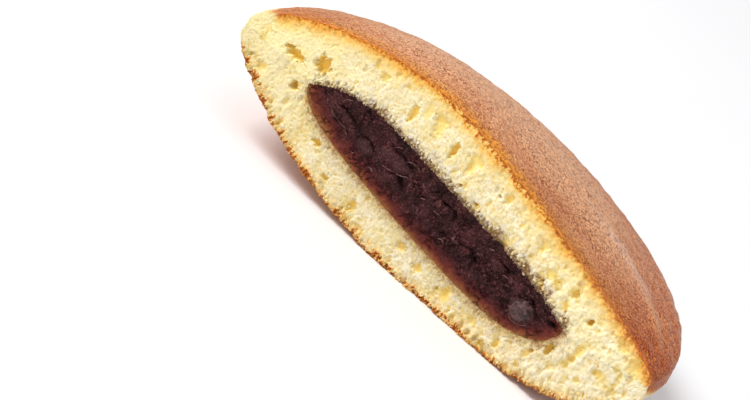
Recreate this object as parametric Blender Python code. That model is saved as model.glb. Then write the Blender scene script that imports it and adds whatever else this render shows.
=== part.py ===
"""Half of a dorayaki: two griddle cakes around sweet red bean paste, cut through near the middle.

The half lies on its browned underside. Its cut face looks along -Y, the left tip points along -X,
and the origin is on the table at the middle of the footprint.
"""

import math

import bmesh
import bpy
from mathutils import Vector, noise

MM = 0.001

# The round outline of both cakes, and where the knife went through it.
RIM_RADIUS = 48.0 * MM
CENTRE_BACK = 7.0 * MM  # from the cut face back to the middle of the round
OUTLINE_UNEVENNESS = 0.010  # share of the radius by which the outline wanders
GAP = 0.3 * MM  # clearance between touching solids

# Heights of the two cakes above and below the seam that runs round the rim.
SEAM_HEIGHT = 16.5 * MM
CROWN_HEIGHT = 15.0 * MM
BELLY_DEPTH = 17.3 * MM  # more than the seam height, so that the cake sags flat on the table
SAG_SOFTNESS = 0.35 * MM
CROWN_LEAN = (-12.2 * MM, 0.0)  # from the middle of the round to the highest point
BELLY_LEAN = (8.7 * MM, 7.0 * MM)  # and to the lowest, which lies back under the weight
CROWN_FORM = (1.42, 0.61)  # exponents of the dome: how full it is, how round its edge is
BELLY_FORM = (2.6, 0.58)
SURFACE_UNEVENNESS = 0.35 * MM
SEAM_GROOVE = 0.8 * MM
SEAM_GROOVE_WIDTH = 1.3 * MM

# The seam is a little higher at the left tip, and sags under the paste, more towards the right tip.
SEAM_TILT = 0.7 * MM
SEAM_SAG = 3.0 * MM
SEAM_SAG_SLOPE = 0.08

# The paste is a lens round the same axis, fuller below towards the right tip.
PASTE_RADIUS = 30.6 * MM
PASTE_SIDE = -0.8 * MM
PASTE_BACK = 4.0 * MM
PASTE_RISE = 5.4 * MM
PASTE_RISE_SLOPE = -0.04
PASTE_DROP = 5.9 * MM
PASTE_DROP_SLOPE = 0.03
PASTE_TOP_FORM = (3.0, 0.6)
PASTE_BOTTOM_FORM = (5.0, 0.5)
PASTE_TIP_SHARPNESS = 0.35  # how much leaner the left tip of the paste is above the seam
CUTTER_OVERHANG = 4.0 * MM

# Relief of the cut. Each bubble and bean is an oval on it, in mm: across and up to its middle, half
# its width and half its height.
CUT_UNEVENNESS = 0.25 * MM
BUBBLES = {
    "upper_cake": (
        (-31.0, 20.8, 1.3, 1.6),
        (-35.6, 19.2, 1.6, 0.8),
        (-20.5, 26.6, 0.9, 0.9),
        (-13.0, 25.0, 0.7, 1.9),
        (-8.3, 27.2, 1.3, 1.1),
        (-3.5, 24.7, 0.8, 1.9),
        (0.9, 26.0, 1.5, 1.0),
        (9.1, 24.6, 0.8, 1.1),
        (18.7, 22.5, 0.9, 1.2),
        (22.4, 19.4, 1.3, 1.0),
        (32.5, 17.4, 0.8, 0.9),
        (39.5, 17.9, 1.0, 0.8),
    ),
    "lower_cake": (
        (-40.2, 13.2, 1.1, 0.9),
        (-33.3, 14.4, 1.0, 0.8),
        (-24.1, 9.2, 1.1, 0.8),
        (-12.4, 4.6, 0.9, 1.4),
        (3.4, 4.2, 0.9, 1.2),
        (22.1, 3.4, 0.8, 1.0),
        (29.8, 9.0, 0.8, 1.5),
        (33.6, 10.4, 0.9, 0.9),
        (39.0, 11.4, 1.2, 0.8),
    ),
}
BUBBLE_DEPTH = 1.1  # share of the oval's mean half size
BEANS = (
    (22.1, 10.9, 2.6, 2.5),
    (-9.3, 12.4, 2.6, 1.9),
    (-10.6, 16.5, 3.0, 1.2),
    (-23.3, 16.3, 2.4, 1.2),
    (-16.6, 14.3, 2.0, 1.6),
    (1.2, 15.2, 2.2, 1.4),
    (8.6, 11.2, 2.4, 1.5),
    (14.4, 14.0, 1.8, 1.2),
)
BEAN_PROUD = 0.7 * MM
BEAN_GROOVE = 0.4 * MM
BEAN_GROOVE_WIDTH = 0.35  # share of the bean's half size
TORN_EDGE = 0.7 * MM  # how raggedly the browned underside tears where the knife drags over it
TORN_EDGE_HEIGHT = 1.4 * MM

# How finely each solid is divided.
CAKE_STATIONS = 60
CUT_ROWS = {"upper_cake": 10, "lower_cake": 9}
DOME_ROWS = 12
SEAM_ROWS = 5
PASTE_STATIONS = 38
PASTE_CUT_ROWS = 10
PASTE_ROWS = 6
TIP_CROWDING = 0.5  # 0 spaces the stations evenly, 1 crowds them towards the tips


def clear_scene():
    for thing in list(bpy.data.objects):
        bpy.data.objects.remove(thing, do_unlink=True)


def material(name, colour, roughness):
    made = bpy.data.materials.new(name)
    made.use_nodes = True
    shader = made.node_tree.nodes["Principled BSDF"]
    shader.inputs["Base Color"].default_value = (*colour, 1.0)
    shader.inputs["Roughness"].default_value = roughness
    shader.inputs["Metallic"].default_value = 0.0
    return made


def mix(start, end, share):
    return start + (end - start) * share


def wander(x, y, z, size):
    """Smooth unevenness from -1 to 1 whose swells are about as large as size."""
    return noise.noise(Vector((x, y, z)) / size)


# --- the forms that the solids follow -----------------------------------------------------------


def from_axis(x, y):
    return math.hypot(x, y - CENTRE_BACK)


def dome(x, y, height, lean, form):
    """Height of a dome over its rim, with its top moved off the axis by lean."""
    fullness, roundness = form
    inside = 1 - min(1.0, from_axis(x, y) / RIM_RADIUS) ** 2
    share = min(1.0, from_axis(x - lean[0] * inside, y - lean[1] * inside) / RIM_RADIUS)
    swell = SURFACE_UNEVENNESS * wander(x, y, height, 17 * MM) * inside
    return height * (1 - share**fullness) ** roundness + swell


def rim_height(x):
    return SEAM_HEIGHT - SEAM_TILT * x / RIM_RADIUS


def seam(x, y):
    """Height of the surface where the two cakes meet."""
    share = min(1.0, from_axis(x, y) / RIM_RADIUS)
    return rim_height(x) - (SEAM_SAG + SEAM_SAG_SLOPE * x) * (1 - share**2)


def crown(x, y):
    return rim_height(x) + GAP / 2 + dome(x, y, CROWN_HEIGHT, CROWN_LEAN, CROWN_FORM)


def belly(x, y):
    """The underside, which sags softly onto the table instead of going below it."""
    height = rim_height(x) - GAP / 2 - dome(x, y, BELLY_DEPTH, BELLY_LEAN, BELLY_FORM)
    if height > SAG_SOFTNESS:
        return height
    if height < -SAG_SOFTNESS:
        return 0.0
    return (height + SAG_SOFTNESS) ** 2 / (4 * SAG_SOFTNESS)


def paste_share(x, y, radius):
    return min(1.0, math.hypot(x - PASTE_SIDE, y - PASTE_BACK) / radius)


def paste_top(x, y, extra=0.0):
    fullness, roundness = PASTE_TOP_FORM
    roundness = roundness + PASTE_TIP_SHARPNESS * max(0.0, (PASTE_SIDE - x) / PASTE_RADIUS) ** 2
    share = paste_share(x, y, PASTE_RADIUS + extra)
    return seam(x, y) + (PASTE_RISE + PASTE_RISE_SLOPE * x + extra) * (1 - share**fullness) ** roundness


def paste_bottom(x, y, extra=0.0):
    fullness, roundness = PASTE_BOTTOM_FORM
    share = paste_share(x, y, PASTE_RADIUS + extra)
    return seam(x, y) - (PASTE_DROP + PASTE_DROP_SLOPE * x + extra) * (1 - share**fullness) ** roundness


# --- relief of the cut --------------------------------------------------------------------------


def oval_share(x, z, oval):
    """Distance from the middle of an oval, where 1 is its edge."""
    middle_x, middle_z, half_width, half_height = (size * MM for size in oval)
    return math.hypot((x - middle_x) / half_width, (z - middle_z) / half_height)


def crumb_relief(x, z, bubbles):
    """How far behind the plane of the knife the crumb lies."""
    depth = CUT_UNEVENNESS * wander(x, 0, z, 6 * MM)
    for bubble in bubbles:
        share = oval_share(x, z, bubble)
        if share < 1:
            depth += BUBBLE_DEPTH * (bubble[2] + bubble[3]) / 2 * MM * math.sqrt(1 - share**2)
    return depth


def torn_relief(x, z):
    """The browned underside is drawn back unevenly along the cut."""
    tear = 0.5 + wander(x, 0, 0, 2.2 * MM)
    return TORN_EDGE * max(0.0, tear) * math.exp(-(z - belly(x, 0)) / TORN_EDGE_HEIGHT)


def bean_relief(x, z):
    """Whole and halved beans stand out of the cut paste, each with a groove round it."""
    depth = 2 * CUT_UNEVENNESS * wander(x, 0, z, 5 * MM)
    for bean in BEANS:
        share = oval_share(x, z, bean)
        if share < 1:
            depth -= BEAN_PROUD * math.sqrt(1 - share**2)
        elif share < 1 + BEAN_GROOVE_WIDTH:
            depth += BEAN_GROOVE * math.sin((share - 1) / BEAN_GROOVE_WIDTH * math.pi)
    return depth


# --- building the solids ------------------------------------------------------------------------


def half_chord(radius, back):
    return math.sqrt(radius**2 - back**2)


def station(number, radius, side, back):
    """Ends on the cut and on the rim of the line numbered from -1 at the left tip to 1 at the right."""
    crowded = math.sin(number * math.pi / 2)
    chord_x = side + half_chord(radius, back) * mix(number, crowded, TIP_CROWDING)
    angle = math.pi / 2 - number * (math.pi / 2 + math.asin(back / radius))
    rim = (side + radius * math.cos(angle), back + radius * math.sin(angle))
    return (chord_x, 0.0), rim


def along(ends, share):
    (x0, y0), (x1, y1) = ends
    return mix(x0, x1, share), mix(y0, y1, share)


def grid_faces(mesh, rows):
    """Quads between neighbouring rows of points, each row as long as the next."""
    for near, far in zip(rows, rows[1:]):
        for i in range(len(near) - 1):
            mesh.faces.new((near[i], near[i + 1], far[i + 1], far[i]))


def half_round(name, cut_stations, rim_ends, low, high, low_rows, high_rows, cut_rows, relief, finish):
    """A closed half-round solid between the surfaces low and high, with relief on its cut face.

    The cut face has twice as many stations as the surfaces behind it.
    """
    mesh = bmesh.new()
    numbers = [i / cut_stations - 1 for i in range(1, 2 * cut_stations)]
    tips = [rim_ends(number)[1] for number in (-1, 1)]
    left, right = (mesh.verts.new(finish(*tip, low(*tip))) for tip in tips)

    cut = []
    for number in numbers:
        (x, _), _ = rim_ends(number)
        bottom, top = low(x, 0), high(x, 0)
        heights = [mix(bottom, top, row / cut_rows) for row in range(cut_rows + 1)]
        cut.append([mesh.verts.new(finish(x, relief(x, z), z)) for z in heights])

    def surface(height, rows, edge, rim_row):
        """Rows of points from the cut face's edge back to the rim, at every second station."""
        made = []
        for i in range(1, len(numbers), 2):
            ends = rim_ends(numbers[i])
            line = [cut[i][edge]]
            for row in range(1, rows):
                x, y = along(ends, math.sin(row / rows * math.pi / 2))
                line.append(mesh.verts.new(finish(x, y, height(x, y))))
            line.append(rim_row[len(made)])
            made.append(line)
        return made

    rim_row = []
    for i in range(1, len(numbers), 2):
        x, y = rim_ends(numbers[i])[1]
        rim_row.append(mesh.verts.new(finish(x, y, low(x, y))))
    upper = surface(high, high_rows, cut_rows, rim_row)
    lower = surface(low, low_rows, 0, rim_row)

    grid_faces(mesh, cut)
    for lines, edge in ((upper, cut_rows), (lower, 0)):
        for near, far, i in zip(lines, lines[1:], range(1, len(numbers), 2)):
            mesh.faces.new((near[0], cut[i + 1][edge], far[0], far[1], near[1]))
            for row in range(1, len(near) - 1):
                mesh.faces.new((near[row], far[row], far[row + 1], near[row + 1]))
    for tip, column, first_upper, first_lower in (
        (left, cut[0], upper[0], lower[0]),
        (right, cut[-1], upper[-1], lower[-1]),
    ):
        for row in range(cut_rows):
            mesh.faces.new((tip, column[row], column[row + 1]))
        for line, edge in ((first_upper, cut_rows), (first_lower, 0)):
            mesh.faces.new((tip, column[edge], line[0], line[1]))
            for row in range(1, len(line) - 1):
                mesh.faces.new((tip, line[row], line[row + 1]))
    bmesh.ops.recalc_face_normals(mesh, faces=mesh.faces)

    data = bpy.data.meshes.new(name)
    mesh.to_mesh(data)
    mesh.free()
    data.shade_smooth()
    data.set_sharp_from_angle(angle=math.radians(40))
    made = bpy.data.objects.new(name, data)
    bpy.context.scene.collection.objects.link(made)
    return made


def rim_shaped(x, y, z):
    """The outline wanders a little, and the edge of each cake rounds into a groove at the seam."""
    distance = from_axis(x, y)
    share = distance / RIM_RADIUS
    turn = Vector((x, y - CENTRE_BACK, 0)) / max(distance, MM)
    wandering = OUTLINE_UNEVENNESS * wander(turn.x, turn.y, z * 4, 0.7) * share**3
    above_seam = (z - rim_height(x)) / SEAM_GROOVE_WIDTH
    groove = SEAM_GROOVE * math.exp(-(above_seam**2)) * share**24
    outwards = wandering - groove / RIM_RADIUS
    return x + outwards * x, y + outwards * max(0.0, y - CENTRE_BACK), z


def plain(x, y, z):
    return x, y, z


def cake_line(number):
    return station(number, RIM_RADIUS, 0.0, CENTRE_BACK)


def make_cake(name, low, high, low_rows, high_rows, relief):
    return half_round(
        name, CAKE_STATIONS, cake_line, low, high, low_rows, high_rows, CUT_ROWS[name], relief, rim_shaped
    )


def make_upper_cake():
    return make_cake(
        "upper_cake",
        lambda x, y: seam(x, y) + GAP / 2,
        crown,
        SEAM_ROWS,
        DOME_ROWS,
        lambda x, z: crumb_relief(x, z, BUBBLES["upper_cake"]),
    )


def make_lower_cake():
    return make_cake(
        "lower_cake",
        belly,
        lambda x, y: seam(x, y) - GAP / 2,
        DOME_ROWS,
        SEAM_ROWS,
        lambda x, z: crumb_relief(x, z, BUBBLES["lower_cake"]) + torn_relief(x, z),
    )


def make_paste(name, extra, relief):
    """The paste, or the slightly larger body that its hollow in the cakes is carved with."""
    return half_round(
        name,
        PASTE_STATIONS,
        lambda number: station(number, PASTE_RADIUS + extra, PASTE_SIDE, PASTE_BACK),
        lambda x, y: paste_bottom(x, y, extra),
        lambda x, y: paste_top(x, y, extra),
        PASTE_ROWS,
        PASTE_ROWS,
        PASTE_CUT_ROWS,
        relief,
        plain,
    )


def carve(target, cutter):
    carving = target.modifiers.new("paste_hollow", "BOOLEAN")
    carving.operation = "DIFFERENCE"
    carving.solver = "EXACT"
    carving.object = cutter


def to_middle(things):
    """The way that puts the origin on the table at the middle of the things' footprint."""
    points = [corner.co for thing in things for corner in thing.data.vertices]
    middle = [(min(p[axis] for p in points) + max(p[axis] for p in points)) / 2 for axis in (0, 1)]
    return Vector((-middle[0], -middle[1], 0.0))


def main():
    clear_scene()
    crumb = material("crumb", (0.90, 0.72, 0.38), 0.85)
    paste_red = material("bean_paste", (0.045, 0.018, 0.016), 0.35)

    cakes = (make_upper_cake(), make_lower_cake())
    paste = make_paste("bean_paste", 0.0, bean_relief)
    hollow = make_paste("paste_cutter", 2 * GAP, lambda x, z: -CUTTER_OVERHANG)
    hollow.hide_render = True
    hollow.display_type = "WIRE"

    for cake in cakes:
        cake.data.materials.append(crumb)
        carve(cake, hollow)
    paste.data.materials.append(paste_red)

    way = to_middle((*cakes, paste))
    for thing in (*cakes, paste, hollow):
        thing.location = way


main()
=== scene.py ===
"""The looks of half a dorayaki, cut through near the middle, lying on a pale table.

The cakes and the bean paste repeat the forms of the solids at a fine pitch. Geometry trees add the
open crumb of the cut, the grain of the browned skin, the torn edges and the loose grains. The cut
face looks along -Y, and its left tip points along -X.
"""

import math
import random
from types import SimpleNamespace

import bmesh
import bpy
import numpy as np
from mathutils import Matrix, Vector, noise


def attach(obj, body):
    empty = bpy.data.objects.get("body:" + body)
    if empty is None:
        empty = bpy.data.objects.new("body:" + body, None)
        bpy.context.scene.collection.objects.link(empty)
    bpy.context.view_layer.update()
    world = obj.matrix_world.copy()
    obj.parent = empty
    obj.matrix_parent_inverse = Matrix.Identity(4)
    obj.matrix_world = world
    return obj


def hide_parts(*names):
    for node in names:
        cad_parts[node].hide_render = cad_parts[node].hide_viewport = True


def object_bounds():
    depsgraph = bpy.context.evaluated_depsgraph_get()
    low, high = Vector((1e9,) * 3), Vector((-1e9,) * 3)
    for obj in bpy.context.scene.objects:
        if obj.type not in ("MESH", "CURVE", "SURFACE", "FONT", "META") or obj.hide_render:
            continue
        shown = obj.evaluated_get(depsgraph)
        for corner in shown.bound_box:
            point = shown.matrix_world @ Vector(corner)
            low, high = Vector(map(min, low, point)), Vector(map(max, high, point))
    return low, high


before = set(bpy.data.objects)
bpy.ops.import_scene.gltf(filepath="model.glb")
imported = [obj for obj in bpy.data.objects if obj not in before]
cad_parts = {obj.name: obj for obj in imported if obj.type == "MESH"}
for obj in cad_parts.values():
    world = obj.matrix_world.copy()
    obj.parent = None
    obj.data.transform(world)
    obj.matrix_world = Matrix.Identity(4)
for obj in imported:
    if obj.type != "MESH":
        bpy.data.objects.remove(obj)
cad_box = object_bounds()

MM = 0.001

# The forms of the solids, measured from the middle of the cut at table height.
RIM_RADIUS = 48.0 * MM
CENTRE_BACK = 7.0 * MM
OUTLINE_UNEVENNESS = 0.010
SEAM_HEIGHT = 16.5 * MM
CROWN_HEIGHT = 15.0 * MM
BELLY_DEPTH = 17.3 * MM
SAG_SOFTNESS = 0.35 * MM
CROWN_LEAN = (-12.2 * MM, 0.0)
BELLY_LEAN = (8.7 * MM, 7.0 * MM)
CROWN_FORM = (1.42, 0.61)
BELLY_FORM = (2.6, 0.58)
SURFACE_UNEVENNESS = 0.35 * MM
SURFACE_SWELL = 17 * MM
SEAM_GROOVE = 0.8 * MM
SEAM_GROOVE_WIDTH = 1.3 * MM
SEAM_TILT = 0.7 * MM
SEAM_SAG = 3.0 * MM
SEAM_SAG_SLOPE = 0.08
PASTE_RADIUS = 30.6 * MM
PASTE_SIDE = -0.8 * MM
PASTE_BACK = 4.0 * MM
PASTE_RISE = 5.4 * MM
PASTE_RISE_SLOPE = -0.04
PASTE_DROP = 5.9 * MM
PASTE_DROP_SLOPE = 0.03
PASTE_TOP_FORM = (3.0, 0.6)
PASTE_BOTTOM_FORM = (5.0, 0.5)
PASTE_BITE = 0.12 * MM  # how far the paste reaches into the crumb, so that no gap shows
PASTE_TIP_SHARPNESS = 0.35  # how much leaner the left tip of the paste is above the seam

# From the middle of the cut to the frame's own origin, which the solids' box gives.
TO_FRAME = Vector((0.0, cad_box[1][1] - RIM_RADIUS - CENTRE_BACK, 0.0))

# The pale band round the rim lies between the browned dome and the browned underside.
BAND_TOP = 19.2 * MM
BAND_TOP_TILT = 3.6 * MM
BAND_BOTTOM = 11.0 * MM
BAND_BOTTOM_TILT = 2.9 * MM
BAND_EDGE = 2.4 * MM  # how softly the brown fades into the band
BAND_TOP_DROP = 2.0 * MM  # how much lower the dome's brown reaches away from the cut
BAND_DROP_BACK = 5.0 * MM  # how far behind the cut it comes to that

# Open bubbles in the cut: across and up to the middle, half the width, half the height and the
# depth, in mm.
UPPER_BUBBLES = (
    (-31.0, 20.8, 1.55, 1.75, 1.2),
    (-36.2, 19.0, 2.1, 0.9, 1.1),
    (-38.0, 19.4, 0.5, 0.6, 1.2),
    (-20.5, 26.6, 0.9, 0.9, 0.5),
    (-13.0, 25.0, 0.7, 1.9, 0.7),
    (-8.3, 27.2, 1.3, 1.1, 0.5),
    (-3.5, 24.7, 0.6, 1.7, 1.0),
    (-7.8, 26.0, 1.1, 1.9, 0.35),
    (0.9, 26.0, 1.5, 1.0, 0.45),
    (0.9, 20.7, 0.35, 0.3, 1.1),
    (5.0, 19.9, 0.35, 0.3, 1.1),
    (-0.7, 20.1, 0.3, 0.25, 1.0),
    (9.1, 24.6, 0.8, 1.1, 0.6),
    (7.5, 23.8, 0.3, 0.3, 1.0),
    (18.7, 22.5, 0.9, 1.2, 0.4),
    (22.4, 19.4, 1.3, 1.0, 0.4),
    (27.5, 19.6, 0.7, 0.9, 0.9),
    (32.5, 17.4, 0.6, 0.6, 1.3),
    (39.5, 17.9, 1.0, 0.8, 0.4),
)
LOWER_BUBBLES = (
    (-40.2, 13.2, 1.1, 0.9, 0.5),
    (-33.3, 14.4, 0.9, 0.8, 1.5),
    (-24.1, 9.2, 1.0, 0.7, 0.9),
    (-19.3, 5.3, 0.8, 0.6, 0.7),
    (-12.4, 4.6, 0.9, 1.4, 0.7),
    (-1.0, 5.2, 1.1, 0.9, 0.6),
    (3.4, 4.2, 0.9, 1.2, 0.6),
    (22.1, 3.4, 0.8, 1.0, 0.7),
    (27.6, 6.7, 0.4, 0.5, 1.0),
    (29.8, 9.0, 0.7, 1.4, 1.1),
    (33.6, 10.4, 0.8, 0.7, 0.6),
    (39.0, 11.4, 1.2, 0.8, 0.5),
)

# Beans that the knife went through: across, up, half the length, half the height, in mm, and how
# pale the skin looks, partly its own colour and partly painted sheen. The first one is whole.
BEANS = (
    (22.1, 10.9, 2.5, 2.3, 1.0),
    (-9.3, 12.4, 2.6, 1.7, 0.15),
    (-10.6, 16.4, 3.4, 1.4, 0.45),
    (-23.3, 16.3, 2.9, 1.1, 0.25),
    (-16.4, 14.4, 2.1, 1.4, 0.55),
    (1.2, 15.2, 2.2, 1.3, 0.1),
    (8.6, 11.2, 2.4, 1.4, 0.1),
    (14.4, 14.0, 1.9, 1.1, 0.15),
)
BEAN_PROUD = 0.35 * MM
CREVICE_DEPTH = 0.8 * MM
CREVICE_WIDTH = 0.10  # as a share of the bean
CREVICE_WAY = math.radians(65)  # the side of a bean on which the paste has come away

# Bean skins seen on edge, each from (across, up) to (across, up) and how far it bows, in mm.
SKINS = (
    (-12.0, 14.2, -7.1, 15.6, -0.3),
    (-8.7, 17.7, -5.9, 17.7, 0.5),
    (-25.0, 15.8, -21.0, 14.8, -0.3),
    (5.1, 12.5, 6.7, 12.5, 0.15),
    (5.7, 12.7, 5.7, 14.4, 0.25),
    (15.9, 13.5, 17.0, 13.6, 0.1),
    (11.6, 15.6, 12.5, 15.9, 0.1),
    (20.9, 8.9, 24.4, 9.8, -0.7),
)
SKIN_SCRAPS = 8
SKIN_STEPS = 12
TIP_HOLLOW = (27.6, 12.6, 1.3, 0.55, 1.0)  # a hollow at the right tip of the paste, painted dark as shade in both the crumb and the paste

# A low fold in the dome's skin, which runs along the back of its right shoulder.
FOLD_START = 14.0 * MM
FOLD_LENGTH = 29.0 * MM
FOLD_BACK = 20.0 * MM
FOLD_BEND = 10.4 * MM
FOLD_HEIGHT = 0.28 * MM
FOLD_WIDTH = 1.9 * MM

# The pitch of the fine meshes.
CAKE_COLUMNS = 560
UPPER_CUT_ROWS = 76
LOWER_CUT_ROWS = 60
SKIN_ROWS = 110
HIDDEN_ROWS = 20
PASTE_COLUMNS = 380
PASTE_CUT_ROWS = 76
PASTE_SKIN_ROWS = 14

# How far behind the cut the roughness of its face fades out.
CRUMB_FADE = 1.2 * MM
TEAR_FADE = 0.8 * MM
PASTE_FADE = 0.8 * MM

FIBRE_SQUEEZE = 0.28  # draws places inwards together, so that the fibres under the skin come out long
PASTE_HALO = 3.2  # how far the paste greys the crumb, in mm

# The camera: a long lens that looks at a point on the cut.
LENS = 100.0
SENSOR = 36.0
AIM = Vector((-9.54, 0.0, 8.45)) * MM
CAMERA_DISTANCE = 356.2 * MM
CAMERA_TURN = math.radians(15.0)
CAMERA_RISE = math.radians(22.0)
CAMERA_ROLL = math.radians(35.8)


# --- small helpers ------------------------------------------------------------------------------


def mix(start, end, share):
    return start + (end - start) * share


def rgb(red, green, blue):
    """A colour as a screen shows it, from 0 to 255, made linear."""
    shares = np.array((red, green, blue)) / 255
    linear = np.where(shares <= 0.04045, shares / 12.92, ((shares + 0.055) / 1.055) ** 2.4)
    return (*linear.tolist(), 1.0)


def add_object(name, data):
    made = bpy.data.objects.new(name, data)
    bpy.context.scene.collection.objects.link(made)
    return made


def object_of(name, work):
    """Makes an object of a bmesh and frees it."""
    data = bpy.data.meshes.new(name)
    work.to_mesh(data)
    work.free()
    data.shade_smooth()
    return add_object(name, data)


class Nodes:
    """Adds nodes to a tree and links them as it goes.

    A keyword with a capital is an input of the new node, with _ for a space. Any other keyword is
    one of its settings. An input is linked where its value is another node's output.
    """

    def __init__(self, tree):
        self.tree = tree

    def put(self, socket, value):
        if isinstance(value, bpy.types.NodeSocket):
            self.tree.links.new(value, socket)
        elif value is not None:
            socket.default_value = value

    def dress(self, node, **inputs):
        for name, value in inputs.items():
            self.put(node.inputs[name.replace("_", " ")], value)

    def add(self, kind, *values, **named):
        made = self.tree.nodes.new(kind)
        for name, value in named.items():
            if name[0].islower():
                setattr(made, name, value)
        self.dress(made, **{name: value for name, value in named.items() if name[0].isupper()})
        for socket, value in zip(made.inputs, values):
            self.put(socket, value)
        return made

    def read(self, name):
        """The numbers stored under this name."""
        if self.tree.type == "GEOMETRY":
            made = self.add("GeometryNodeInputNamedAttribute", name, data_type="FLOAT")
            return made.outputs["Attribute"]
        return self.add("ShaderNodeAttribute", attribute_name=name).outputs["Fac"]

    def note(self, geometry, **layers):
        """Stores numbers for the points of a geometry, under these names."""
        for name, value in layers.items():
            made = self.add("GeometryNodeStoreNamedAttribute", data_type="FLOAT", domain="POINT")
            self.dress(made, Geometry=geometry, Name=name, Value=value)
            geometry = made.outputs[0]
        return geometry

    def move(self, geometry, way):
        return self.add("GeometryNodeSetPosition", Geometry=geometry, Offset=way).outputs[0]

    def draw(self, kind, low, high):
        """A number or a vector drawn for each point."""
        made = self.add("FunctionNodeRandomValue", data_type=kind)
        first = 0 if kind == "FLOAT_VECTOR" else 2
        for socket, value in zip(made.inputs[first:], (low, high)):
            self.put(socket, value)
        return made.outputs[first // 2]

    def bump(self, height, strength, distance):
        sizes = {"Strength": strength, "Distance": distance}
        return self.add("ShaderNodeBump", Height=height, **sizes).outputs[0]

    def maths(self, operation, first, *others):
        """A node for each further value, in a chain."""
        for other in others:
            first = self.add("ShaderNodeMath", first, other, operation=operation).outputs[0]
        return first

    def times(self, *values):
        return self.maths("MULTIPLY", *values)

    def plus(self, *values):
        return self.maths("ADD", *values)

    def minus(self, first, second):
        return self.maths("SUBTRACT", first, second)

    def over(self, first, second):
        return self.maths("DIVIDE", first, second)

    def vector(self, operation, *values, **named):
        return self.add("ShaderNodeVectorMath", *values, operation=operation, **named).outputs[0]

    def scaled(self, vector, size):
        return self.vector("SCALE", vector, Scale=size)

    def split(self, vector):
        return self.add("ShaderNodeSeparateXYZ", vector).outputs

    def join(self, x, y, z):
        return self.add("ShaderNodeCombineXYZ", x, y, z).outputs[0]

    def upright(self, where):
        """Places for a pattern that comes out tall and a little askew."""
        tall = self.vector("MULTIPLY", where, (1.0, 1.0, 0.4))
        turn = {"rotation_type": "EULER_XYZ", "Rotation": (0.6, 0.4, 0.7)}
        return self.add("ShaderNodeVectorRotate", Vector=tall, **turn).outputs[0]

    def span(self, value, low, high, to_low=0.0, to_high=1.0):
        """Takes low..high smoothly to to_low..to_high, and holds the ends."""
        ends = (value, low, high, to_low, to_high)
        return self.add("ShaderNodeMapRange", *ends, interpolation_type="SMOOTHSTEP").outputs[0]

    def fade(self, value, low, high):
        return self.span(value, low, high, 1.0, 0.0)

    def noise(self, where, size, detail=2.0, roughness=0.5, output=0):
        """Noise from 0 to 1 whose swells are about as large as size."""
        swells = {"Scale": 1 / size, "Detail": detail, "Roughness": roughness}
        return self.add("ShaderNodeTexNoise", Vector=where, **swells).outputs[output]

    def ripple(self, where, size, **named):
        """Noise of about -0.5 to 0.5."""
        return self.minus(self.noise(where, size, **named), 0.5)

    def shake(self, where, size, **named):
        """Noise of about -0.5 to 0.5 in each direction."""
        return self.vector("SUBTRACT", self.noise(where, size, output="Color", **named), (0.5, 0.5, 0.5))

    def cells(self, where, scale, **named):
        """The outputs of a pattern of cells."""
        return self.add("ShaderNodeTexVoronoi", Vector=where, Scale=scale, **named).outputs

    def blend(self, share, first, second, how="MIX"):
        made = self.add("ShaderNodeMix", data_type="RGBA", blend_type=how)
        for place, value in ((0, share), (6, first), (7, second)):
            self.put(made.inputs[place], value)
        return made.outputs[2]

    def coats(self, colour, *coats, how="MIX"):
        """Covers a colour with one coat of (share, red, green, blue) after another."""
        for share, *paint in coats:
            colour = self.blend(share, colour, rgb(*paint), how)
        return colour

    def tints(self, colour, *coats):
        """Darkens a colour by one coat of (share, red, green, blue) after another."""
        return self.coats(colour, *coats, how="MULTIPLY")

    def ramp(self, share, *stops):
        """A colour ramp through (place, red, green, blue) stops."""
        made = self.add("ShaderNodeValToRGB", share)
        bar = made.color_ramp
        while len(bar.elements) < len(stops):
            bar.elements.new(1.0)
        for element, (place, *colour) in zip(bar.elements, stops):
            element.position = place
            element.color = rgb(*colour)
        return made.outputs["Color"]


# --- the forms, as in the solids ----------------------------------------------------------------


def from_axis(x, y):
    return np.hypot(x, y - CENTRE_BACK)


def wander(x, y, z, size):
    """Smooth unevenness from -1 to 1 whose swells are about as large as size."""
    spots = np.stack(np.broadcast_arrays(x, y, z), -1).reshape(-1, 3) / size
    found = np.array([noise.noise(spot) for spot in spots.tolist()])
    return found.reshape(np.broadcast(x, y, z).shape)


def dome(x, y, height, lean, form):
    fullness, roundness = form
    inside = 1 - np.minimum(1, from_axis(x, y) / RIM_RADIUS) ** 2
    share = np.minimum(1, from_axis(x - lean[0] * inside, y - lean[1] * inside) / RIM_RADIUS)
    swell = SURFACE_UNEVENNESS * wander(x, y, height, SURFACE_SWELL) * inside
    return height * (1 - share**fullness) ** roundness + swell


def rim_height(x):
    return SEAM_HEIGHT - SEAM_TILT * x / RIM_RADIUS


def seam(x, y):
    share = np.minimum(1, from_axis(x, y) / RIM_RADIUS)
    return rim_height(x) - (SEAM_SAG + SEAM_SAG_SLOPE * x) * (1 - share**2)


def beside_fold(x, y):
    """How far behind the fold's crest a place lies, and how strong the fold is there."""
    along = (x - FOLD_START) / FOLD_LENGTH
    behind = y - FOLD_BACK + FOLD_BEND * np.clip(along, 0, None) ** 3
    return behind, np.clip(along * 3, 0, 1) * np.clip((1.08 - along) * 6, 0, 1)


def fold(x, y):
    behind, strength = beside_fold(x, y)
    return FOLD_HEIGHT * np.exp(-((behind / FOLD_WIDTH) ** 2)) * strength


def crown(x, y):
    return rim_height(x) + dome(x, y, CROWN_HEIGHT, CROWN_LEAN, CROWN_FORM) + fold(x, y)


def belly(x, y):
    height = rim_height(x) - dome(x, y, BELLY_DEPTH, BELLY_LEAN, BELLY_FORM)
    soft = (np.clip(height, -SAG_SOFTNESS, SAG_SOFTNESS) + SAG_SOFTNESS) ** 2 / (4 * SAG_SOFTNESS)
    return np.where(height > SAG_SOFTNESS, height, soft)


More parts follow.
